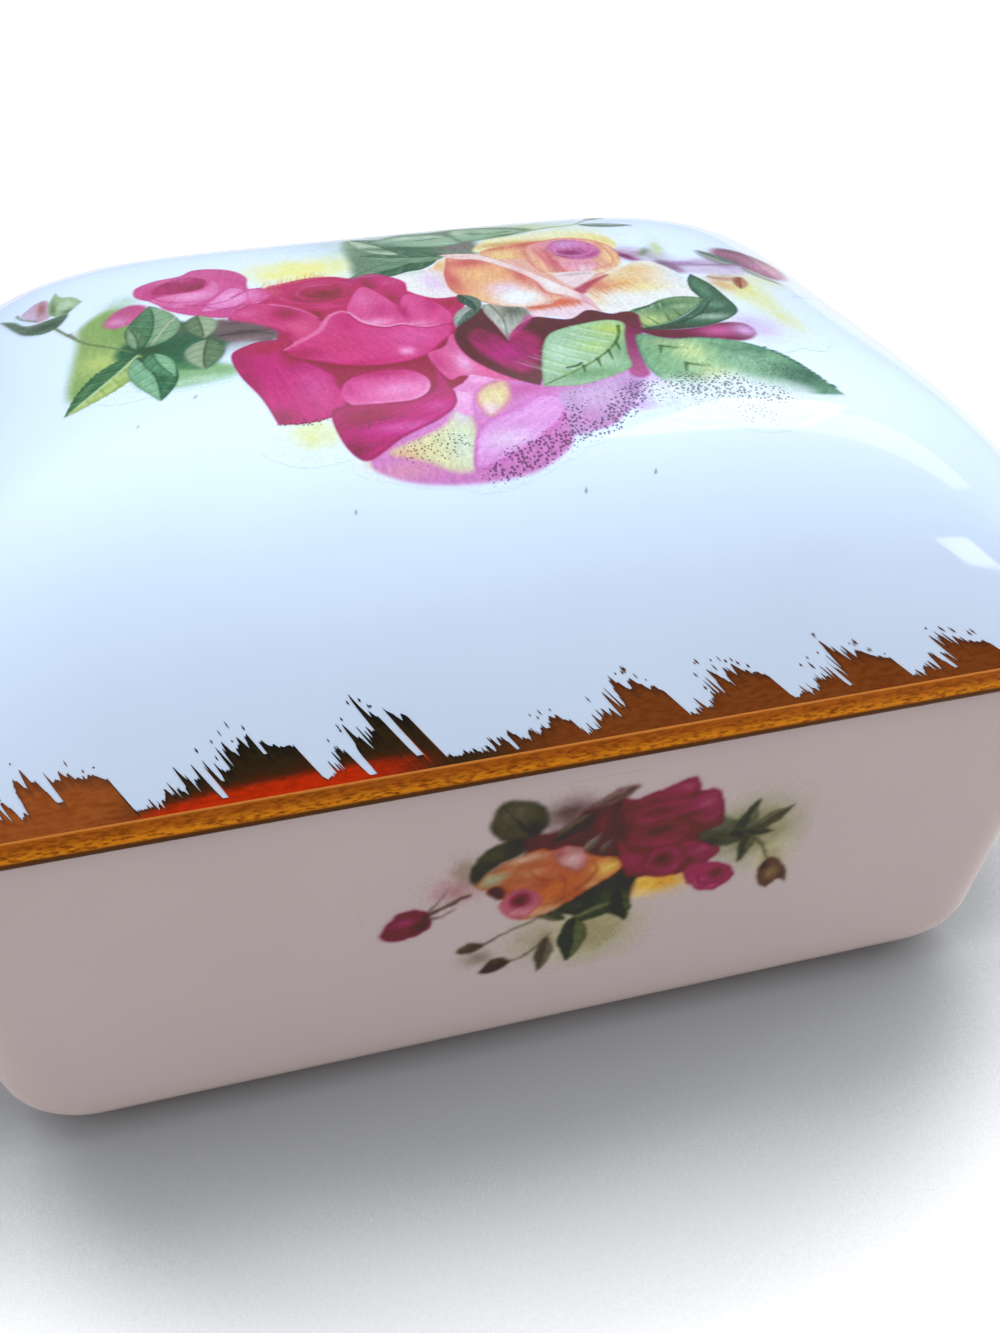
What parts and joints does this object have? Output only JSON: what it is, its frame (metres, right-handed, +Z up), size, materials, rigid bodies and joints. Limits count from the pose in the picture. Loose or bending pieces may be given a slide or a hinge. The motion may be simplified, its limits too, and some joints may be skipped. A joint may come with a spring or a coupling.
{
  "type": "trinket box",
  "caption": "Rectangular porcelain trinket box with a domed lift-off lid, gilded rim and rose spray transfers.",
  "frame": {"origin": "middle of the underside, on the surface the box stands on", "axes": "+X to the right along the width, +Y towards the back, +Z up; the decorated front faces -Y"},
  "size_m": [0.1102, 0.082, 0.0649],
  "materials": {
    "body_porcelain": "glossy clear glaze over white porcelain",
    "lid_porcelain": "glossy clear glaze over white porcelain",
    "gilding": "thin fired gold, polished on the dome and slightly rough on the rim",
    "lid_transfer": "glossy printed enamel",
    "front_transfer": "glossy printed enamel"
  },
  "bodies": {
    "box_body": {"body_shell": "body_porcelain", "front_rose_transfer": "front_transfer"},
    "lid": {"lid_shell": "lid_porcelain", "rim_gilding": "gilding", "lid_rose_transfer": "lid_transfer"}
  },
  "joints": [
    {"name": "lid_lift", "type": "slide", "parent": "box_body", "child": "lid", "axis": [0, 0, 1], "range_m": [0, 0.06]}
  ]
}
